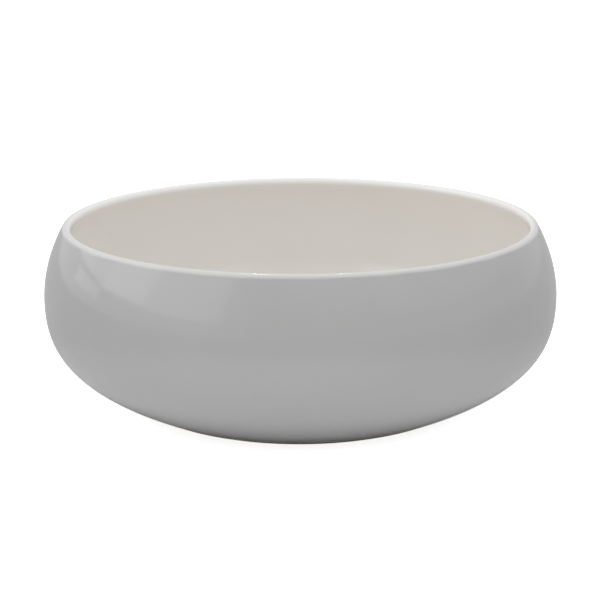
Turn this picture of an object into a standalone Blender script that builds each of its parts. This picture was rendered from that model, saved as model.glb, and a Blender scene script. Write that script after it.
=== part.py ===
"""Glazed ceramic bowl with an incurved wall, standing on a low foot ring.

The section is drawn once, as the finished surface of the bowl, from the foot up the outside,
over the lip and down the inside to the middle of the floor. Every layer is a depth below that
surface: first a coat of glaze, then the fired clay. Each layer's outline is spun about Z.
"""

import math

import bmesh
import bpy
from mathutils import Vector

# Outside of the bowl, in metres.
HEIGHT = 0.0724  # table to the crest of the lip
BELLY_RADIUS = 0.1000  # the widest place
BELLY_HEIGHT = 0.0440  # height of the widest place
RIM_RADIUS = 0.0924  # where the wall ends and the lip's rounding starts
FOOT_RADIUS = 0.0590  # outer edge of the foot ring
FLARE_ANGLE = math.radians(23)  # rise of the wall as it leaves the foot
RIM_LEAN = math.radians(29)  # lean of the wall towards the middle at the lip

# How far each curve's handles reach, as a share of the curve's own run or rise.
FLARE_FULLNESS = 0.74  # along the flare, leaving the foot
LOWER_BELLY_FULLNESS = 0.49  # below the widest place
UPPER_BELLY_FULLNESS = 0.32  # above the widest place
RIM_FULLNESS = 0.34  # below the lip

# Thickness of the finished wall, clay and both glazes together.
WALL = 0.0042
LIP_THICKNESS = 0.0036
FLOOR_THICKNESS = 0.0052
FLOOR_BLEND_RISE = 0.0060  # height over which the flat floor sweeps up into the wall

# Foot ring and the recess inside it.
FOOT_WIDTH = 0.0060
FOOT_EDGE = 0.0004  # rounding of the foot's two lower edges
RECESS_DEPTH = 0.0022  # table to the glaze under the base
RECESS_SLOPE = 0.0020  # run of the slanted wall inside the foot ring
BASE_GLAZE_MARGIN = 0.0012  # bare clay between that glaze and the recess's wall

# Coats of glaze.
GLAZE = 0.0005
GAP = 0.0003  # clearance between any two solids
GLAZE_LINE = 0.0012  # height at which the outside glaze stops, above the table

# Points along the section and round the bowl.
ROUND_STEPS = 56
FLARE_STEPS = 10
SHOULDER_STEPS = 6
LIP_STEPS = 6
BLEND_STEPS = 4

CLAY_DEPTH = GLAZE + GAP


def bezier(start, start_handle, end_handle, end, steps):
    """Points of one cubic curve, both ends included."""
    points = []
    for step in range(steps + 1):
        t = step / steps
        s = 1 - t
        points.append(
            s**3 * start + 3 * s * s * t * start_handle + 3 * s * t * t * end_handle + t**3 * end
        )
    return points


def normals_of(points):
    """Unit vectors square to a line of points, to its left as it is walked."""
    found = []
    for i in range(len(points)):
        along = points[min(i + 1, len(points) - 1)] - points[max(i - 1, 0)]
        found.append(Vector((-along.y, along.x)).normalized())
    return found


def smooth_share(value, low, high):
    """0 at low, 1 at high, level at both."""
    t = min(max((value - low) / (high - low), 0.0), 1.0)
    return t * t * (3 - 2 * t)


def lip_centre():
    """Middle of the lip's rounding."""
    return Vector((RIM_RADIUS, HEIGHT)) - LIP_THICKNESS / 2 * Vector((math.cos(RIM_LEAN), 1))


def outside_line():
    """The finished outside, from the foot to where the lip's rounding starts, as (radius, height)."""
    foot = Vector((FOOT_RADIUS, 0))
    belly = Vector((BELLY_RADIUS, BELLY_HEIGHT))
    rim = lip_centre() + LIP_THICKNESS / 2 * Vector((math.cos(RIM_LEAN), math.sin(RIM_LEAN)))
    run = (belly.x - foot.x) * FLARE_FULLNESS
    flare_handle = foot + run * Vector((1, math.tan(FLARE_ANGLE)))
    below_belly = belly - Vector((0, belly.y * LOWER_BELLY_FULLNESS))
    above_belly = belly + Vector((0, (rim.y - belly.y) * UPPER_BELLY_FULLNESS))
    drop = (rim.y - belly.y) * RIM_FULLNESS
    rim_handle = rim + drop * Vector((math.tan(RIM_LEAN), -1))
    flare = bezier(foot, flare_handle, below_belly, belly, FLARE_STEPS)
    shoulder = bezier(belly, above_belly, rim_handle, rim, SHOULDER_STEPS)
    return flare + shoulder[1:]


def lip_arc(radius):
    """The lip's rounding, from the outside over the crest to the inside."""
    centre = lip_centre()
    points = []
    for step in range(LIP_STEPS + 1):
        angle = RIM_LEAN + math.pi * step / LIP_STEPS
        points.append(centre + radius * Vector((math.cos(angle), math.sin(angle))))
    return points


def inside_line(outside):
    """The finished inside, from the lip down to the middle of the floor."""
    floor = RECESS_DEPTH + FLOOR_THICKNESS
    points = []
    for point, inward in reversed(list(zip(outside, normals_of(outside)))):
        share = smooth_share(point.y, BELLY_HEIGHT, outside[-1].y)
        thickness = WALL + (LIP_THICKNESS - WALL) * share
        offset = point + thickness * inward
        if offset.y < floor + FLOOR_BLEND_RISE:
            break
        points.append(offset)
    # The wall runs on along its last direction to the floor's plane, and one curve rounds the corner.
    end = points[-1]
    along = (end - points[-2]).normalized()
    corner = end + along * (end.y - floor) / -along.y
    reach = (corner - end).length
    flat_edge = Vector((corner.x - reach, floor))
    for step in range(1, BLEND_STEPS + 1):
        t = step / BLEND_STEPS
        points.append((1 - t) ** 2 * end + 2 * t * (1 - t) * corner + t * t * flat_edge)
    points.append(Vector((0, floor)))
    return points


def deeper(points, depth):
    """A line of points moved into the material, which lies to its left. The axis stays the axis."""
    moved = [p + depth * n for p, n in zip(points, normals_of(points))]
    for old, new in zip(points, moved):
        if old.x == 0:
            new.x = 0
    return moved


def from_height(points, height):
    """The part of a rising line of points that lies above a height, starting exactly there."""
    above = [p for p in points if p.y > height]
    upper = above[0]
    lower = points[len(points) - len(above) - 1]
    return [lower.lerp(upper, (height - lower.y) / (upper.y - lower.y))] + above


def spin(name, outline, material):
    """One closed solid: an outline of (radius, height), walked with the material to its left."""
    mesh = bmesh.new()
    rings = []
    for radius, height in outline:
        if radius < 1e-7:
            rings.append([mesh.verts.new((0, 0, height))])
            continue
        ring = []
        for step in range(ROUND_STEPS):
            angle = 2 * math.pi * step / ROUND_STEPS
            ring.append(mesh.verts.new((radius * math.cos(angle), radius * math.sin(angle), height)))
        rings.append(ring)
    for lower, upper in zip(rings, rings[1:] + rings[:1]):
        if len(lower) == 1 and len(upper) == 1:
            continue
        for step in range(ROUND_STEPS):
            after = (step + 1) % ROUND_STEPS
            if len(lower) == 1:
                mesh.faces.new((lower[0], upper[after], upper[step]))
            elif len(upper) == 1:
                mesh.faces.new((lower[step], lower[after], upper[0]))
            else:
                mesh.faces.new((lower[step], lower[after], upper[after], upper[step]))
    data = bpy.data.meshes.new(name)
    mesh.to_mesh(data)
    mesh.free()
    data.shade_smooth()
    data.set_sharp_from_angle(angle=math.radians(40))
    data.materials.append(material)
    piece = bpy.data.objects.new(name, data)
    bpy.context.scene.collection.objects.link(piece)
    return piece


def material_of(name, colour, roughness):
    """A plain material with the piece's colour and gloss."""
    made = bpy.data.materials.new(name)
    made.use_nodes = True
    shader = made.node_tree.nodes["Principled BSDF"]
    shader.inputs["Base Color"].default_value = (*colour, 1)
    shader.inputs["Roughness"].default_value = roughness
    shader.inputs["Metallic"].default_value = 0
    return made


def clay_body(outside, inside):
    """The fired clay: foot ring, floor and wall in one piece, bare only at the foot."""
    wall = [p for p in deeper(outside, CLAY_DEPTH) if p.x > FOOT_RADIUS]
    lip = lip_arc(LIP_THICKNESS / 2 - CLAY_DEPTH)
    lining = deeper(inside, CLAY_DEPTH)
    foot_top = wall[0].y - (wall[0].x - FOOT_RADIUS) * math.tan(FLARE_ANGLE)
    inner_edge = FOOT_RADIUS - FOOT_WIDTH
    recess_top = RECESS_DEPTH + CLAY_DEPTH
    recess_wall = inner_edge - RECESS_SLOPE
    foot = [
        Vector((0, recess_top)),
        Vector((recess_wall, recess_top)),
        Vector((inner_edge, FOOT_EDGE)),
        Vector((inner_edge + FOOT_EDGE, 0)),
        Vector((FOOT_RADIUS - FOOT_EDGE, 0)),
        Vector((FOOT_RADIUS, FOOT_EDGE)),
        Vector((FOOT_RADIUS, foot_top)),
    ]
    outline = foot + wall + lip[1:-1] + lining
    return spin("clay_body", outline, material_of("fired_clay", (0.72, 0.66, 0.57), 0.85))


def outside_glaze(outside):
    """The grey coat, from just above the foot to just below the lip's rounding."""
    skin = from_height(outside, GLAZE_LINE)
    back = deeper(skin, GLAZE)
    # It stops short of the lip's white glaze by the clearance.
    for line in (skin, back):
        line[-1] = line[-1] - (line[-1] - line[-2]).normalized() * GAP
    outline = skin + back[::-1]
    return spin("outside_glaze", outline, material_of("grey_glaze", (0.45, 0.45, 0.45), 0.12))


def inside_glaze(inside):
    """The white coat, from the lip's outer edge over the crest and down over the whole floor."""
    skin = lip_arc(LIP_THICKNESS / 2)[:-1] + inside
    back = lip_arc(LIP_THICKNESS / 2 - GLAZE)[:-1] + deeper(inside, GLAZE)
    outline = skin + back[::-1]
    return spin("inside_glaze", outline, material_of("white_glaze", (0.76, 0.73, 0.66), 0.12))


def base_glaze():
    """The disc of grey glaze under the base, inside the foot ring and clear of the table."""
    radius = FOOT_RADIUS - FOOT_WIDTH - RECESS_SLOPE - BASE_GLAZE_MARGIN
    top = RECESS_DEPTH + GLAZE
    outline = [
        Vector((0, RECESS_DEPTH)),
        Vector((radius - GLAZE, RECESS_DEPTH)),
        Vector((radius, RECESS_DEPTH + GLAZE / 2)),
        Vector((radius, top)),
        Vector((0, top)),
    ]
    return spin("base_glaze", outline, material_of("base_grey_glaze", (0.45, 0.45, 0.45), 0.15))


def main():
    for old in list(bpy.data.objects):
        bpy.data.objects.remove(old)
    outside = outside_line()
    inside = inside_line(outside)
    clay_body(outside, inside)
    outside_glaze(outside)
    inside_glaze(inside)
    base_glaze()


main()
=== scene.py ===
"""Looks of a glazed ceramic bowl: its clay, its glazes and a plain white studio.

The bowl's finished surface is one line, the skin, read from the CAD frame's outlines at +X: from
the foot up the outside, over the lip and down the inside to the middle of the floor. The coats
inside and outside are outlines of (distance along the skin, depth below it). The clay follows the
skin too, down to its foot. Every piece is turned about Z. Lengths are in metres.
"""

import math

import bmesh
import bpy
from mathutils import Matrix, Vector, noise


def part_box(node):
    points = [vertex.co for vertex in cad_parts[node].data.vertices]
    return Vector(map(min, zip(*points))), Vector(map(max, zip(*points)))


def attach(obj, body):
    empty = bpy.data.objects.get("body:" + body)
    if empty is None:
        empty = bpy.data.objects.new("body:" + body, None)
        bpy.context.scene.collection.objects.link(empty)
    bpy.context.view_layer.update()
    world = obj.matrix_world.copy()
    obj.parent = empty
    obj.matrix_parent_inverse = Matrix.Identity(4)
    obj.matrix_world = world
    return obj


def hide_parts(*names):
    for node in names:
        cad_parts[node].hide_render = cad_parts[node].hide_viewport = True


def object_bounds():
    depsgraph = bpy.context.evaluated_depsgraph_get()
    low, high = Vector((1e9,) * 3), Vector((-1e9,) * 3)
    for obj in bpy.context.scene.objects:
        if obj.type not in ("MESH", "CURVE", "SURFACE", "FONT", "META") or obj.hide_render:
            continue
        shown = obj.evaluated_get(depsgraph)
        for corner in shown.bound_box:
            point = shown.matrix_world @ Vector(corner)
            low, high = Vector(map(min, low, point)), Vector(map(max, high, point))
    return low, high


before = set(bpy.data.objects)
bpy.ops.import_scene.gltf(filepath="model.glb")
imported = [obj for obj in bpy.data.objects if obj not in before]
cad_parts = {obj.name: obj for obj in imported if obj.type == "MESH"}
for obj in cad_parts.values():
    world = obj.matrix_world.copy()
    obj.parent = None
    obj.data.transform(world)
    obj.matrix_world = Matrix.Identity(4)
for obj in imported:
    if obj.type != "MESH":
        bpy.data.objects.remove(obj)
cad_low, cad_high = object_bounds()
base_low, base_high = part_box("base_glaze")

MM = 0.001
NEAR = 1e-6  # lengths below this count as none
NOISE_GAIN = 1.6  # brings Blender's noise to about -1 to 1

# Fineness of the turned surfaces.
ROUND_STEPS = 288
SPLINE_STEPS = 5  # points between two points of the frame's outline
EDGE_STEPS = 6  # points round a coat's edge
FILLET_STEPS = 4  # points round the clay's corners
FILLET_LIMIT = 0.45  # most of a side that the rounding of a corner takes
DISC_STEPS = 14  # rings on a flat disc
SHARP_TURN = math.radians(50)  # a turn in an outline that ends a run
SPARE = 0.15 * MM  # points of the skin closer than this to a run's end are left out

# How the coats of glaze lie on each other and on the clay.
COAT = 0.50 * MM  # thickness of a coat
SEAT = 0.02 * MM  # clearance between a coat and what it lies on
WHITE_DROP = 0.10 * MM  # how far the white shows below the lip's rounding
FEATHER = 1.6 * MM  # the grey coat thins out over this stretch, towards the white
FEATHER_EDGE = 0.06 * MM  # what is left of it at its upper edge
TONGUE = 2.0 * MM  # how far the white coat runs on under the grey
TONGUE_ROOM = 0.42 * MM  # depth of the grey coat's back over the end of that tongue
TONGUE_STEP = 0.6 * MM  # over which that back comes to its full depth, below the tongue
TONGUE_TAPER = 3  # how many times tighter the tongue's end is rounded than a coat's edge
STEP_RUN = 0.35 * MM  # over which the white dips under the grey's edge
BEAD = 0.06 * MM  # how far the grey coat's lower edge swells
BEAD_FULL = 0.88 * MM  # length of the swelling at its fullest
BEAD_RUN = 2.2 * MM  # and with its fading out
ROUNDING = 0.50 * MM  # length of the rounding at a coat's edge

# How the clay's foot joins its wall.
FOOT_FILLET = 0.25 * MM
WALL_JOINT = 0.8 * MM  # from the foot's side out to where the clay follows the coats
JOINT_SLOPE = 1 * MM  # length of wall whose slope is carried on down to the foot

# Wavering of the coats' edges round the bowl, up and down: its size, then its spread and seed.
LIP_WAVER, LIP_RIPPLE = 0.10 * MM, (3.1, 4.7)
FOOT_WAVER, FOOT_RIPPLE = 0.30 * MM, (4.3, 9.2)
BASE_WAVER, BASE_RIPPLE = 0.35 * MM, (3.7, 23.1)
WAVER_FULL = 1.4 * MM  # along the skin, from an edge to where the waver starts to die out
WAVER_REACH = 7 * MM  # and to where it has died out
BASE_WAVER_FROM = 0.8  # share of the base coat's radius from which its edge wavers
BASE_SAG = 0.05 * MM  # unevenness of the base coat's face
BASE_SAG_LENGTH = 14 * MM

# Warping of the bowl in the kiln.
OVAL = 0.10 * MM
OVAL_TURN = 0.9  # radians from +X to the oval's long way
RIM_WAVE, RIM_RIPPLE = 0.08 * MM, (0.9, 17.3)
SKIN_WAVE = 0.030 * MM  # sideways, and half of it up and down
SKIN_WAVE_LENGTH = 19 * MM
FLAT_BELOW = 3 * MM  # height over which the warping starts, so that the foot stands flat
STILL_WITHIN = 5 * MM  # radius over which it starts, so that the axis stays in place

# Colours.
GREY_DEEP = (0.412, 0.412, 0.412)
GREY_LIGHT = (0.434, 0.434, 0.434)
GREY_GRAIN = (0.428, 0.426, 0.424)
GREY_BREAK = (0.62, 0.615, 0.605)  # where it thins at the lip
GREY_FOOT_SHADE = (0.285, 0.255, 0.225)  # painted contact shade, dark and warm, at its lower edge
WHITE_DEEP = (0.795, 0.770, 0.732)
WHITE_LIGHT = (0.821, 0.798, 0.764)
WHITE_POOL = (0.813, 0.782, 0.735)  # on the floor
# Painted light on the lip's inner crest, and painted shade on its outer flank.
LIP_INSIDE_LIT = (0.845, 0.84, 0.83)
LIP_OUTSIDE_SHADED = (0.63, 0.628, 0.622)
SPECK = (0.16, 0.13, 0.10)
CLAY_DEEP = (0.60, 0.53, 0.44)
CLAY_LIGHT = (0.72, 0.65, 0.56)
CLAY_FLASH = (0.42, 0.31, 0.21)
CLAY_SCUFF = (0.33, 0.31, 0.29)
CLAY_GROG = (0.80, 0.76, 0.70)
PAPER_DEEP = (0.88, 0.88, 0.88)
PAPER_LIGHT = (0.91, 0.91, 0.91)
BLACK = (0, 0, 0)

# Where the tones change: heights, or distances from the axis.
GREY_BREAK_HEIGHTS = (0.0708, 0.0717)
# heights over which the painted contact shade at the grey's foot fades out
GREY_FOOT_SHADE_HEIGHTS = (0.0085, 0.0015)
GREY_WANDER = 0.8 * MM  # how unevenly the grey's two edges change
WHITE_POOL_HEIGHTS = (0.022, 0.008)
# heights from which the lip carries that painted light and painted shade
LIP_HEIGHTS = (0.0685, 0.0712)
LIP_WANDER = 1.0 * MM
LIP_LIGHT_TO_SHADE_RADII = (0.0898, 0.0914)  # from the lip's inside, with painted light, to its outside, with painted shade
CLAY_FLASH_RADII = (0.0590, 0.0612)
CLAY_SCUFF_HEIGHTS = (0.00030, 0.0)

# Roughness and relief.
GREY_GLOSS = 0.11
WHITE_GLOSS = 0.10
GLOSS_SPREAD = (0.8, 1.3)  # shares of a gloss between which it varies
PINHOLE_ROUGHNESS = 0.35
PINHOLE_DEPTH = 0.03 * MM
PEEL_DEPTH = 0.006 * MM
CLAY_ROUGHNESS = (0.75, 0.95)
CLAY_GRAIN_DEPTH = 0.08 * MM
CLAY_GROG_DEPTH = 0.04 * MM
PAPER_ROUGHNESS = 0.8
PAPER_GRAIN_DEPTH = 0.02 * MM
NOISE_RANGE = (0.3, 0.7)  # the part of a noise texture's values that is spread out

# The studio's surround, by brightness.
SURROUND_ABOVE = 1.15
SURROUND_LEVEL = ((0.1, 1.03), (0.5, 0.59), (0.9, 0.75))  # at the horizon, from left to right
SURROUND_RISE = 0.95  # height on the unit sphere where it is as bright as overhead

# The studio's floors.
FLOOR_SIZE = 9.0
FLOOR_CELLS = 18
FLOOR_GLOW = 0.93  # lifts the floor that the camera sees to the white of the paper
MIRRORED_DEPTH, MIRRORED_GLOW, MIRRORED_DIM = 0.1 * MM, 0.15, 0.54
BOUNCE_DEPTH, BOUNCE_GLOW, BOUNCE_DIM = 0.2 * MM, 0.08, 0.42
BRIGHT_SPOT = 0.11  # how far in front of the bowl's axis the floor is brightest, a painted pool of light
DIM_REACH = (0.06, 0.24)  # distances from there between which the dimming grows
CONTACT_SHADE_REACH = (0.070, 0.092)  # painted contact shadow: distances from the axis between which the floor's glow grows

# The studio's panels and lamps.
BOWL_MIDDLE = Vector((0, 0, 0.05))
PANEL_DISTANCE = 1.6
LAMP_DISTANCE = 1.5
RADIANCE_TO_POWER = 4.0  # watts for each square metre of a lamp that is as bright as 1
# Name, azimuths and elevations in degrees, how many side by side, radiance.
PANELS = (
    ("left_panel", (-33, -71), (9.5, 48), 2, 0.60),
    ("left_middle_panel", (-71, -98), (11.5, 48), 1, 1.15),
    ("left_side_panel", (-98, -124), (12.5, 48), 1, 0.75),
    ("left_low_panel", (-98, -118), (4.5, 10.3), 1, 0.50),
    ("right_panel", (34, 110), (15, 45), 3, 0.13),
)
# Name, direction from the bowl, width, radiance.
LAMPS = (
    ("lamp_over", (-0.23, -0.12, 1.0), 0.03, 200),
    ("lamp_back", (-0.06, 0.7, 0.7), 0.03, 110),
    ("lamp_back_right", (0.07, 0.7, 0.7), 0.025, 60),
)

# Camera.
CAMERA_BACK = 0.76857
CAMERA_HEIGHT = 0.23318
CAMERA_PITCH = math.radians(14.076)  # down from level
CAMERA_YAW = math.radians(0.0125)
CAMERA_ROLL = math.radians(-0.191)
LENS = 120.757
SENSOR = 36.0
CLIP_START = 0.01


# The skin.


def meridian(node):
    """The node's outline at +X, as one line of points joined by the mesh's own edges."""
    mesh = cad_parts[node].data
    place = {}
    for vertex in mesh.vertices:
        x, y, z = vertex.co
        if abs(y) < NEAR and x > -NEAR:
            place[vertex.index] = (round(x, 6), round(z, 6))
    joined = {point: set() for point in place.values()}
    for edge in mesh.edges:
        a, b = (place.get(i) for i in edge.vertices)
        if a is not None and b is not None and a != b:
            joined[a].add(b)
            joined[b].add(a)
    ends = [p for p in joined if len(joined[p]) == 1]
    line = [min(ends or joined, key=lambda p: p[1])]
    while True:
        ahead = [p for p in sorted(joined[line[-1]]) if p not in line]
        if not ahead:
            return [Vector(p) for p in line], bool(ends)
        line.append(ahead[0])


def long_runs(node):
    """The outline's long lines, cut where it turns sharply."""
    line, is_open = meridian(node)
    if is_open:
        line = [Vector((0, line[0].y))] + line + [Vector((0, line[-1].y))]
    else:
        line = line + line[:1]
    corners = [0]
    for i in range(1, len(line) - 1):
        turn = (line[i] - line[i - 1]).angle(line[i + 1] - line[i])
        if turn > SHARP_TURN:
            corners.append(i)
    corners.append(len(line) - 1)
    return [line[a : b + 1] for a, b in zip(corners, corners[1:]) if b - a > 1]


def smooth(line, steps):
    """A finer line through the same points, without corners."""
    fine = []
    for i in range(len(line) - 1):
        a, b = line[i], line[i + 1]
        before = line[i - 1] if i else 2 * a - b
        after = line[i + 2] if i + 2 < len(line) else 2 * b - a
        span = (b - a).length
        slope_a = (b - before) * span / ((a - before).length + span)
        slope_b = (after - a) * span / ((after - b).length + span)
        for step in range(steps):
            t = step / steps
            fine.append(
                (2 * t**3 - 3 * t**2 + 1) * a
                + (t**3 - 2 * t**2 + t) * slope_a
                + (3 * t**2 - 2 * t**3) * b
                + (t**3 - t**2) * slope_b
            )
    fine.append(line[-1].copy())
    return fine


def ease(value, low, high):
    """0 below low, 1 above high, level at both."""
    t = min(max((value - low) / (high - low), 0.0), 1.0)
    return t * t * (3 - 2 * t)


class Skin:
    """The finished surface as a line of (radius, height), walked with the clay to its left."""

    def __init__(self):
        outside = max(long_runs("outside_glaze"), key=lambda run: max(p.x for p in run))
        inside = max(long_runs("inside_glaze"), key=lambda run: max(p.y for p in run))
        if outside[0].y > outside[-1].y:
            outside.reverse()
        if inside[0].x < inside[-1].x:
            inside.reverse()
        self.glaze_line = outside[0]
        first = outside[1] - outside[0]
        table = outside[0] - first * outside[0].y / first.y
        # The outside's last point stops just short of the rim, and the inside starts there.
        rough = [table] + outside[:-1] + inside
        self.points = smooth(rough, SPLINE_STEPS)
        self.at = [0.0]
        for a, b in zip(self.points, self.points[1:]):
            self.at.append(self.at[-1] + (b - a).length)
        last = len(self.points) - 1
        self.normals = []
        for i in range(last + 1):
            along = self.points[min(i + 1, last)] - self.points[max(i - 1, 0)]
            self.normals.append(Vector((-along.y, along.x)).normalized())
        self.glaze_start = self.at[SPLINE_STEPS]
        self.rim = self.at[SPLINE_STEPS * len(outside)]
        self.end = self.at[-1]
        self.last = 0

    def __call__(self, s, depth=0.0):
        """The point at a distance along the skin and a depth below it."""
        i = self.last
        while i > 0 and self.at[i] > s:
            i -= 1
        while i < len(self.at) - 2 and self.at[i + 1] < s:
            i += 1
        self.last = i
        t = (s - self.at[i]) / (self.at[i + 1] - self.at[i])
        normal = self.normals[i].lerp(self.normals[i + 1], t).normalized()
        return self.points[i].lerp(self.points[i + 1], t) + depth * normal

    def between(self, low, high):
        """The distances of the skin's own points from low to high, with both of those."""
        return [low] + [s for s in self.at if low + SPARE < s < high - SPARE] + [high]


skin = Skin()
white_edge = skin.rim - WHITE_DROP


# Wavering and warping.


def ripple(angle, spread, seed):
    """A slow irregular wave round the bowl, from about -1 to 1."""
    around = Vector((math.cos(angle), math.sin(angle), 0)) * spread
    return NOISE_GAIN * noise.noise(around + Vector((0, 0, seed)))


def wavered(s, angle):
    """A distance along the skin, shifted with the wavering of the nearest edge."""
    lip = 1 - ease(abs(s - white_edge), WAVER_FULL, WAVER_REACH)
    foot = 1 - ease(abs(s - skin.glaze_start), WAVER_FULL, WAVER_REACH)
    shift = 0.0
    if lip > 0:
        shift += lip * LIP_WAVER * ripple(angle, *LIP_RIPPLE)
    if foot > 0:
        shift += foot * FOOT_WAVER * ripple(angle, *FOOT_RIPPLE)
    return s + shift


def warped(point, surface, angle):
    """A point of (radius, height) as (x, y, z), moved as the skin above it is moved."""
    height = surface.y / cad_high.z
    freedom = ease(surface.y, 0, FLAT_BELOW)
    turn = Vector((math.cos(angle), math.sin(angle), 0))
    outward = OVAL * math.cos(2 * angle - OVAL_TURN) * height * surface.x / cad_high.x
    lift = RIM_WAVE * ripple(angle, *RIM_RIPPLE) * height**2 * surface.x / cad_high.x
    place = surface.x * turn + Vector((0, 0, surface.y))
    wave = SKIN_WAVE * noise.noise(place / SKIN_WAVE_LENGTH)
    radius = point.x + freedom * (outward + wave) * min(surface.x / STILL_WITHIN, 1)
    return radius * turn + Vector((0, 0, point.y + freedom * (lift + 0.5 * wave)))


# Pieces.


def turned(name, node, material, rows):
    """One closed piece, from rows(angle), its outline at that angle. The axis takes one point."""
    columns = [rows(2 * math.pi * step / ROUND_STEPS) for step in range(ROUND_STEPS)]
    mesh = bmesh.new()
    rings = []
    for i, first in enumerate(columns[0]):
        if math.hypot(first.x, first.y) < NEAR:
            rings.append([mesh.verts.new(first)])
        else:
            rings.append([mesh.verts.new(column[i]) for column in columns])
    for lower, upper in zip(rings, rings[1:] + rings[:1]):
        if len(lower) == 1 and len(upper) == 1:
            continue
        for step in range(ROUND_STEPS):
            after = (step + 1) % ROUND_STEPS
            if len(lower) == 1:
                mesh.faces.new((lower[0], upper[after], upper[step]))
            elif len(upper) == 1:
                mesh.faces.new((lower[step], lower[after], upper[0]))
            else:
                mesh.faces.new((lower[step], lower[after], upper[after], upper[step]))
    data = bpy.data.meshes.new(name)
    mesh.to_mesh(data)
    mesh.free()
    data.shade_smooth()
    data.materials.append(material)
    piece = bpy.data.objects.new(name, data)
    bpy.context.scene.collection.objects.link(piece)
    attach(piece, "root")
    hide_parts(node)
    return piece


def rounding(distance):
    """Share of a coat's thickness left at a distance from its edge, like a quarter round."""
    t = min(max(distance / ROUNDING, 0.0), 1.0)
    return math.sqrt(1 - (1 - t) ** 2)


def edge_stops():
    """Distances from an edge that draw its rounding evenly."""
    quarter = [math.pi / 2 * step / EDGE_STEPS for step in range(1, EDGE_STEPS + 1)]
    return [ROUNDING * (1 - math.cos(angle)) for angle in quarter]


def grey_back(s):
    """Depth of the outside coat's back."""
    below = white_edge - s
    feather = FEATHER_EDGE + (TONGUE_ROOM - FEATHER_EDGE) * ease(below, 0, FEATHER)
    return feather + (COAT - TONGUE_ROOM) * ease(below, TONGUE, TONGUE + TONGUE_STEP)


def outside_rows():
    """Outline of the grey coat, up its front and down its back."""
    start, end = skin.glaze_start, white_edge
    low_stops = [start + d for d in edge_stops()]
    bead_stops = [start + BEAD_RUN * k / 4 for k in range(1, 5)]
    high_stops = [end - d for d in reversed(edge_stops())]
    feather_stops = [end - FEATHER * k / 8 for k in range(9, 2, -1)]
    middle = skin.between(bead_stops[-1], feather_stops[0])[1:-1]
    stops = sorted({start, end, *low_stops, *bead_stops, *high_stops, *feather_stops, *middle})
    front, back = [], []
    for s in stops:
        behind = grey_back(s)
        swell = BEAD * (1 - ease(s - start, BEAD_FULL, BEAD_RUN))
        share = min(rounding(s - start), rounding(end - s))
        front.append((s, behind - (behind + swell) * share))
        back.append((s, behind))
    # At both ends the front meets the back in one point.
    return front + back[-2:0:-1]


def white_front(s):
    """Depth of the inside coat's front: the skin's own, until it dips under the grey coat."""
    below = white_edge - s
    if below > 0:
        return grey_back(s) + SEAT
    return (FEATHER_EDGE + SEAT) * (1 - ease(-below, 0, STEP_RUN))


def inside_rows():
    """Outline of the white coat, up its tongue, over the lip, down to the floor and back."""
    start, end = white_edge - TONGUE, skin.end
    tip = [start + TONGUE * 0.06 * k for k in range(1, 4)]
    tongue_stops = tip + [start + TONGUE * k / 7 for k in range(2, 8)]
    step_stops = [white_edge + STEP_RUN * k / 4 for k in range(1, 5)]
    rest = skin.between(step_stops[-1], end)[1:]
    stops = [start] + tongue_stops + step_stops + rest
    front, back = [], []
    for s in stops:
        depth = white_front(s)
        # The tongue's thin end is rounded.
        share = rounding((s - start) * TONGUE_TAPER)
        front.append((s, COAT - (COAT - depth) * share))
        back.append((s, COAT))
    return front + back[-1:0:-1]


def placed(outline):
    """rows() of an outline given as (distance along the skin, depth)."""

    def rows(angle):
        found = []
        for s, depth in outline:
            if s >= skin.end:
                found.append(Vector((0, 0, skin(s, depth).y)))
                continue
            s = wavered(s, angle)
            found.append(warped(skin(s, depth), skin(s), angle))
        return found

    return rows


def filleted(line, radius):
    """A line of points with its inner corners rounded."""
    found = [line[0]]
    for before, corner, after in zip(line, line[1:], line[2:]):
        into, out = (before - corner), (after - corner)
        reach = min(radius, FILLET_LIMIT * into.length, FILLET_LIMIT * out.length)
        a, b = corner + into.normalized() * reach, corner + out.normalized() * reach
        for step in range(FILLET_STEPS + 1):
            t = step / FILLET_STEPS
            found.append((1 - t) ** 2 * a + 2 * t * (1 - t) * corner + t * t * b)
    return found + [line[-1]]


def clay_rows():
    """Outline of the clay: the foot from the frame, the rest just under the coats."""
    line, _ = meridian("clay_body")
    foot = [p for p in line if p.y < base_high.z + COAT and p.x < skin.glaze_line.x]
    ceiling = base_high.z + SEAT
    slope = foot[1] - foot[0]
    foot[0] = foot[1] + slope * (ceiling - foot[1].y) / slope.y
    depth = COAT + SEAT
    wall_start = next(s for s in skin.at if skin(s, depth).x > foot[-1].x + WALL_JOINT)
    joint = skin(wall_start, depth)
    after = skin(wall_start + JOINT_SLOPE, depth) - joint
    foot[-1] = joint - after * (joint.x - foot[-1].x) / after.x
    flat = [Vector((foot[0].x * k / DISC_STEPS, ceiling)) for k in range(DISC_STEPS)]
    low = flat + filleted([flat[-1]] + foot + [joint], FOOT_FILLET)[1:]
    wall = skin.between(wall_start, skin.end)[1:]

    def rows(angle):
        found = []
        for point in low:
            if point.x == 0:
                found.append(Vector((0, 0, point.y)))
            else:
                found.append(warped(point, Vector((point.x, 0)), angle))
        for s in wall:
            if s >= skin.end:
                found.append(Vector((0, 0, skin(s, depth).y)))
            else:
                found.append(warped(skin(s, depth), skin(s), angle))
        return found

    return rows


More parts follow.
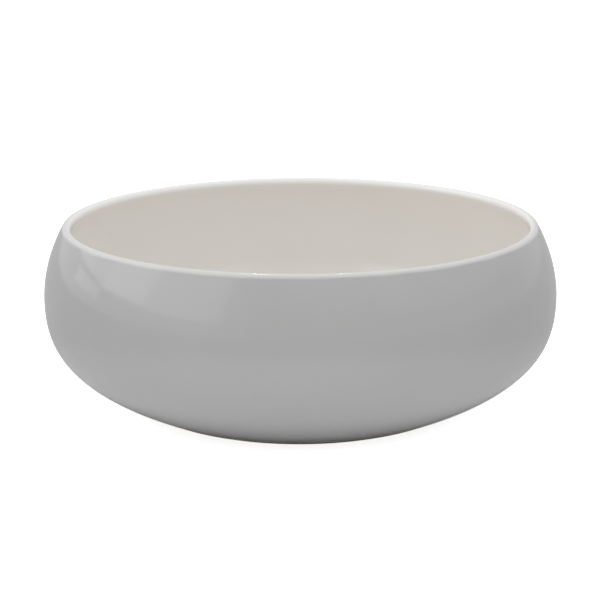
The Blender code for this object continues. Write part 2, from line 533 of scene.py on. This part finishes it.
def base_rows():
    """Outline of the coat under the base: a disc with a rounded, wavering edge."""
    radius, top, bottom = base_high.x, base_high.z, base_low.z
    thick = top - bottom
    stops = edge_stops()
    flat = [(radius - ROUNDING) * k / DISC_STEPS for k in range(DISC_STEPS)]
    outline = [Vector((r, bottom)) for r in flat]
    for d in reversed(stops):
        outline.append(Vector((radius - d, top - thick * rounding(d))))
    outline.append(Vector((radius, top)))
    outline += [Vector((r, top)) for r in reversed(flat)]

    def rows(angle):
        found = []
        turn = Vector((math.cos(angle), math.sin(angle), 0))
        for point in outline:
            edge = ease(point.x, BASE_WAVER_FROM * radius, radius)
            spread = point.x + edge * BASE_WAVER * ripple(angle, *BASE_RIPPLE)
            place = spread * turn
            sag = 0.0
            if point.y < top:
                sag = BASE_SAG * noise.noise(place / BASE_SAG_LENGTH)
            found.append(place + Vector((0, 0, point.y + sag)))
        return found

    return rows


# Materials.


class Nodes:
    """A material's node tree, with short ways to add to it."""

    def __init__(self, name):
        self.material = bpy.data.materials.new(name)
        self.material.use_nodes = True
        self.tree = self.material.node_tree
        self.shader = self.tree.nodes["Principled BSDF"]
        self.place = self.tree.nodes.new("ShaderNodeTexCoord").outputs["Object"]

    def link(self, source, target):
        """Feeds a socket from another node's output, or sets it to a plain value."""
        if hasattr(source, "is_output"):
            self.tree.links.new(source, target)
        else:
            target.default_value = source

    def math(self, operation, a, b=0.0):
        node = self.tree.nodes.new("ShaderNodeMath")
        node.operation = operation
        self.link(a, node.inputs[0])
        self.link(b, node.inputs[1])
        return node.outputs[0]

    def noise(self, scale, detail, roughness, seed):
        node = self.tree.nodes.new("ShaderNodeTexNoise")
        node.noise_dimensions = "4D"
        self.link(self.place, node.inputs["Vector"])
        node.inputs["W"].default_value = seed
        node.inputs["Scale"].default_value = scale
        node.inputs["Detail"].default_value = detail
        node.inputs["Roughness"].default_value = roughness
        return node.outputs["Fac"]

    def specks(self, scale, size, share, seed):
        """1 inside small round spots, of which only a share of the cells has one."""
        node = self.tree.nodes.new("ShaderNodeTexVoronoi")
        node.voronoi_dimensions = "4D"
        self.link(self.place, node.inputs["Vector"])
        node.inputs["W"].default_value = seed
        node.inputs["Scale"].default_value = scale
        split = self.tree.nodes.new("ShaderNodeSeparateColor")
        self.link(node.outputs["Color"], split.inputs[0])
        reach = self.math("MULTIPLY", split.outputs[1], size * scale)
        spot = self.ramp(self.math("DIVIDE", node.outputs["Distance"], reach), 1.0, 0.7)
        chosen = self.math("LESS_THAN", split.outputs[0], share)
        return self.math("MULTIPLY", spot, chosen)

    def ramp(self, value, low, high, to_low=0.0, to_high=1.0):
        """value carried smoothly from (low, high) to (to_low, to_high)."""
        node = self.tree.nodes.new("ShaderNodeMapRange")
        node.interpolation_type = "SMOOTHSTEP"
        if low > high:
            low, high, to_low, to_high = high, low, to_high, to_low
        self.link(value, node.inputs["Value"])
        node.inputs["From Min"].default_value = low
        node.inputs["From Max"].default_value = high
        node.inputs["To Min"].default_value = to_low
        node.inputs["To Max"].default_value = to_high
        return node.outputs["Result"]

    def mix(self, share, a, b):
        node = self.tree.nodes.new("ShaderNodeMix")
        node.data_type = "RGBA"
        self.link(share, node.inputs["Factor"])
        for source, target in ((a, node.inputs[6]), (b, node.inputs[7])):
            self.link((*source, 1) if isinstance(source, tuple) else source, target)
        return node.outputs[2]

    def tint(self, colour, mask, strength, tint):
        """The colour, mixed with a tint by the mask, and at most by so much."""
        return self.mix(self.math("MULTIPLY", mask, strength), colour, tint)

    def uneven(self, height, wander, texture):
        """A height that wanders up and down with a texture."""
        shift = self.math("SUBTRACT", self.math("MULTIPLY", texture, wander), wander / 2)
        return self.math("ADD", height, shift)

    def height(self):
        node = self.tree.nodes.new("ShaderNodeSeparateXYZ")
        self.link(self.place, node.inputs[0])
        return node.outputs["Z"]

    def radius(self, ahead=0.0):
        """Distance from the bowl's axis, or from a place that far in front of it."""
        node = self.tree.nodes.new("ShaderNodeSeparateXYZ")
        self.link(self.place, node.inputs[0])
        x, y = node.outputs["X"], self.math("ADD", node.outputs["Y"], ahead)
        squares = self.math("ADD", self.math("MULTIPLY", x, x), self.math("MULTIPLY", y, y))
        return self.math("SQRT", squares)

    def bump(self, height, distance, under=None):
        node = self.tree.nodes.new("ShaderNodeBump")
        node.inputs["Strength"].default_value = 1.0
        node.inputs["Distance"].default_value = distance
        self.link(height, node.inputs["Height"])
        if under is not None:
            self.link(under, node.inputs["Normal"])
        return node.outputs["Normal"]

    def finish(self, colour, roughness, normal):
        self.link(colour, self.shader.inputs["Base Color"])
        self.link(roughness, self.shader.inputs["Roughness"])
        self.link(normal, self.shader.inputs["Normal"])
        self.shader.inputs["IOR"].default_value = 1.5
        return self.material


def glaze_surface(nodes, gloss):
    """Roughness and fine relief shared by the glazes: smears, orange peel and pinholes."""
    smears = nodes.noise(scale=38, detail=3, roughness=0.55, seed=2.0)
    low, high = GLOSS_SPREAD
    roughness = nodes.ramp(smears, *NOISE_RANGE, gloss * low, gloss * high)
    pins = nodes.specks(scale=55, size=0.35 * MM, share=0.10, seed=5.0)
    pin_roughness = nodes.math("MULTIPLY", pins, PINHOLE_ROUGHNESS)
    roughness = nodes.math("MAXIMUM", roughness, pin_roughness)
    peel = nodes.bump(nodes.noise(scale=420, detail=1, roughness=0.4, seed=1.0), PEEL_DEPTH)
    relief = nodes.bump(nodes.math("MULTIPLY", pins, -1.0), PINHOLE_DEPTH, peel)
    return roughness, relief


def grey_glaze(name, thin_to_white):
    nodes = Nodes(name)
    clouds = nodes.noise(scale=16, detail=3, roughness=0.5, seed=3.0)
    colour = nodes.mix(nodes.ramp(clouds, *NOISE_RANGE), GREY_DEEP, GREY_LIGHT)
    grain = nodes.noise(scale=300, detail=2, roughness=0.6, seed=8.0)
    colour = nodes.mix(nodes.ramp(grain, 0.35, 0.65, 0.0, 0.5), colour, GREY_GRAIN)
    if thin_to_white:
        wander = nodes.noise(scale=70, detail=2, roughness=0.5, seed=6.0)
        edge = nodes.uneven(nodes.height(), GREY_WANDER, wander)
        colour = nodes.mix(nodes.ramp(edge, *GREY_BREAK_HEIGHTS), colour, GREY_BREAK)
        # Painted contact shade: the grey darkens and warms towards the foot.
        foot_shade = nodes.ramp(edge, *GREY_FOOT_SHADE_HEIGHTS)
        colour = nodes.tint(colour, foot_shade, 0.80, GREY_FOOT_SHADE)
    dots = nodes.specks(scale=75, size=0.30 * MM, share=0.16, seed=7.0)
    colour = nodes.tint(colour, dots, 0.35, SPECK)
    roughness, relief = glaze_surface(nodes, GREY_GLOSS)
    return nodes.finish(colour, roughness, relief)


def white_glaze():
    nodes = Nodes("white_glaze")
    clouds = nodes.noise(scale=14, detail=3, roughness=0.5, seed=13.0)
    colour = nodes.mix(nodes.ramp(clouds, *NOISE_RANGE), WHITE_DEEP, WHITE_LIGHT)
    # The glaze lies thickest, and so warmest, on the floor. Over the lip the tone is painted:
    # painted light on its inner crest and painted shade on its outer flank.
    height = nodes.height()
    pooled = nodes.ramp(height, *WHITE_POOL_HEIGHTS)
    colour = nodes.tint(colour, pooled, 0.6, WHITE_POOL)
    wander = nodes.noise(scale=60, detail=2, roughness=0.5, seed=16.0)
    edge = nodes.uneven(height, LIP_WANDER, wander)
    # Painted light and painted shade over the lip.
    lip = nodes.mix(nodes.ramp(nodes.radius(), *LIP_LIGHT_TO_SHADE_RADII), LIP_INSIDE_LIT, LIP_OUTSIDE_SHADED)
    colour = nodes.mix(nodes.ramp(edge, *LIP_HEIGHTS), colour, lip)
    dots = nodes.specks(scale=75, size=0.28 * MM, share=0.14, seed=27.0)
    colour = nodes.tint(colour, dots, 0.30, SPECK)
    roughness, relief = glaze_surface(nodes, WHITE_GLOSS)
    return nodes.finish(colour, roughness, relief)


def fired_clay():
    nodes = Nodes("fired_clay")
    clouds = nodes.noise(scale=45, detail=3, roughness=0.6, seed=31.0)
    colour = nodes.mix(nodes.ramp(clouds, *NOISE_RANGE), CLAY_DEEP, CLAY_LIGHT)
    # Clay flashes darker close to the glaze, and scuffs grey where it stands.
    flash = nodes.ramp(nodes.radius(), *CLAY_FLASH_RADII)
    colour = nodes.tint(colour, flash, 0.8, CLAY_FLASH)
    patches = nodes.noise(scale=160, detail=4, roughness=0.7, seed=33.0)
    rub = nodes.ramp(nodes.height(), *CLAY_SCUFF_HEIGHTS)
    rubbed = nodes.math("MULTIPLY", rub, nodes.ramp(patches, 0.42, 0.62))
    colour = nodes.tint(colour, rubbed, 0.55, CLAY_SCUFF)
    grog = nodes.specks(scale=420, size=0.9 * MM, share=0.35, seed=35.0)
    colour = nodes.tint(colour, grog, 0.45, CLAY_GROG)
    dots = nodes.specks(scale=260, size=0.5 * MM, share=0.10, seed=37.0)
    colour = nodes.tint(colour, dots, 0.7, SPECK)
    dryness = nodes.noise(scale=200, detail=2, roughness=0.5, seed=38.0)
    roughness = nodes.ramp(dryness, *NOISE_RANGE, *CLAY_ROUGHNESS)
    grain = nodes.noise(scale=1500, detail=3, roughness=0.65, seed=39.0)
    relief = nodes.bump(grog, CLAY_GROG_DEPTH, nodes.bump(grain, CLAY_GRAIN_DEPTH))
    return nodes.finish(colour, roughness, relief)


def paper(name, glow, dimmed=0.0):
    """Pale glowing paper. With a share to dim it by, it is brightest in front of the bowl, a
    painted pool of light, and its glow has a painted contact shadow round the foot.
    """
    nodes = Nodes(name)
    clouds = nodes.noise(scale=3, detail=2, roughness=0.5, seed=51.0)
    colour = nodes.mix(nodes.ramp(clouds, *NOISE_RANGE), PAPER_DEEP, PAPER_LIGHT)
    if dimmed:
        # Painted pool of light in front of the bowl, and painted contact shadow in the glow under
        # it.
        far = nodes.ramp(nodes.radius(BRIGHT_SPOT), *DIM_REACH, 0.0, dimmed)
        colour = nodes.mix(far, colour, BLACK)
        glow = nodes.ramp(nodes.radius(), *CONTACT_SHADE_REACH, 0.0, glow)
    nodes.link(colour, nodes.shader.inputs["Emission Color"])
    nodes.link(glow, nodes.shader.inputs["Emission Strength"])
    grain = nodes.noise(scale=700, detail=2, roughness=0.5, seed=52.0)
    return nodes.finish(colour, PAPER_ROUGHNESS, nodes.bump(grain, PAPER_GRAIN_DEPTH))


# Studio.


def direction(azimuth):
    """Level unit vector from the bowl. 0 degrees is towards the camera, 90 to its right."""
    angle = math.radians(azimuth)
    return Vector((math.sin(angle), -math.cos(angle), 0))


def panel(name, place, target, width, height, radiance):
    """A rectangular panel that faces a target. It gleams in the glaze and lights nothing else."""
    data = bpy.data.lights.new(name, "AREA")
    data.shape = "RECTANGLE"
    data.size = width
    data.size_y = height
    data.energy = radiance * width * height * RADIANCE_TO_POWER
    piece = bpy.data.objects.new(name, data)
    piece.visible_camera = piece.visible_diffuse = False
    bpy.context.scene.collection.objects.link(piece)
    facing = (place - target).to_track_quat("Z", "Y").to_matrix().to_4x4()
    piece.matrix_world = Matrix.Translation(place) @ facing


def arc_of_panels(name, azimuths, elevations, count, radiance):
    """Upright panels side by side, between two azimuths and two elevations from the bowl."""
    first, last = azimuths
    step = (last - first) / count
    low, high = (PANEL_DISTANCE * math.tan(math.radians(e)) for e in elevations)
    width = 2 * PANEL_DISTANCE * math.tan(math.radians(abs(step)) / 2)
    for i in range(count):
        level = direction(first + step * (i + 0.5)) * PANEL_DISTANCE
        middle = level + Vector((0, 0, (low + high) / 2 + BOWL_MIDDLE.z))
        target = Vector((0, 0, middle.z))
        panel(f"{name}_{i}", middle, target, width, high - low, radiance)


def lamp(name, towards, size, radiance):
    """A small square lamp, for a glint on the lip."""
    place = BOWL_MIDDLE + Vector(towards).normalized() * LAMP_DISTANCE
    panel(name, place, BOWL_MIDDLE, size, size, radiance)


def plane(name, height, material):
    """One floor of the studio, a square cut into cells."""
    mesh = bmesh.new()
    corners = []
    stops = [FLOOR_SIZE * (i / FLOOR_CELLS - 0.5) for i in range(FLOOR_CELLS + 1)]
    for x in stops:
        corners.append([mesh.verts.new((x, y, height)) for y in stops])
    for left, right in zip(corners, corners[1:]):
        for j in range(FLOOR_CELLS):
            mesh.faces.new((left[j], right[j], right[j + 1], left[j + 1]))
    data = bpy.data.meshes.new(name)
    mesh.to_mesh(data)
    mesh.free()
    data.materials.append(material)
    piece = bpy.data.objects.new(name, data)
    bpy.context.scene.collection.objects.link(piece)
    return piece


def surround():
    """A pale world, brightest overhead, and at the horizon brighter to the sides than ahead."""
    world = bpy.data.worlds.new("pale_surround")
    world.use_nodes = True
    nodes, links = world.node_tree.nodes, world.node_tree.links
    split = nodes.new("ShaderNodeSeparateXYZ")
    links.new(nodes.new("ShaderNodeTexCoord").outputs["Generated"], split.inputs[0])
    across = nodes.new("ShaderNodeMapRange")
    across.inputs["From Min"].default_value = -1.0
    links.new(split.outputs["X"], across.inputs["Value"])
    level = nodes.new("ShaderNodeValToRGB")
    level.color_ramp.elements.new(0.5)
    for stop, (place, brightness) in zip(level.color_ramp.elements, SURROUND_LEVEL):
        stop.position = place
        stop.color = (brightness, brightness, brightness, 1)
    links.new(across.outputs["Result"], level.inputs["Fac"])
    rise = nodes.new("ShaderNodeMapRange")
    rise.interpolation_type = "SMOOTHSTEP"
    rise.inputs["From Max"].default_value = SURROUND_RISE
    rise.inputs["To Max"].default_value = SURROUND_ABOVE
    links.new(split.outputs["Z"], rise.inputs["Value"])
    links.new(level.outputs["Color"], rise.inputs["To Min"])
    links.new(rise.outputs["Result"], nodes["Background"].inputs["Strength"])
    nodes["Background"].inputs["Color"].default_value = (1, 1, 1, 1)
    bpy.context.scene.world = world


def floors():
    """One floor that the camera sees, one that the gloss mirrors, one for the soft light."""
    seen = plane("floor", 0, paper("pale_floor", FLOOR_GLOW))
    seen.visible_diffuse = seen.visible_glossy = seen.visible_shadow = False
    matt = paper("floor_bounce", BOUNCE_GLOW, BOUNCE_DIM)
    bounce = plane("floor_bounce", -BOUNCE_DEPTH, matt)
    bounce.visible_camera = bounce.visible_glossy = False
    gleaming = paper("floor_mirrored", MIRRORED_GLOW, MIRRORED_DIM)
    mirrored = plane("floor_mirrored", -MIRRORED_DEPTH, gleaming)
    mirrored.visible_camera = mirrored.visible_diffuse = mirrored.visible_shadow = False


def studio():
    for arc in PANELS:
        arc_of_panels(*arc)
    for glint in LAMPS:
        lamp(*glint)
    surround()
    floors()


def camera():
    data = bpy.data.cameras.new("camera")
    data.lens = LENS
    data.sensor_width = SENSOR
    data.clip_start = CLIP_START
    piece = bpy.data.objects.new("camera", data)
    bpy.context.scene.collection.objects.link(piece)
    piece.matrix_world = (
        Matrix.Translation((0, -CAMERA_BACK, CAMERA_HEIGHT))
        @ Matrix.Rotation(CAMERA_YAW, 4, "Z")
        @ Matrix.Rotation(math.pi / 2 - CAMERA_PITCH, 4, "X")
        @ Matrix.Rotation(CAMERA_ROLL, 4, "Z")
    )
    bpy.context.scene.camera = piece


turned("clay", "clay_body", fired_clay(), clay_rows())
outside_grey = grey_glaze("grey_glaze", thin_to_white=True)
turned("glaze_outside", "outside_glaze", outside_grey, placed(outside_rows()))
turned("glaze_inside", "inside_glaze", white_glaze(), placed(inside_rows()))
base_grey = grey_glaze("base_grey_glaze", thin_to_white=False)
turned("glaze_base", "base_glaze", base_grey, base_rows())
studio()
camera()
bpy.context.scene.view_settings.view_transform = "Standard"
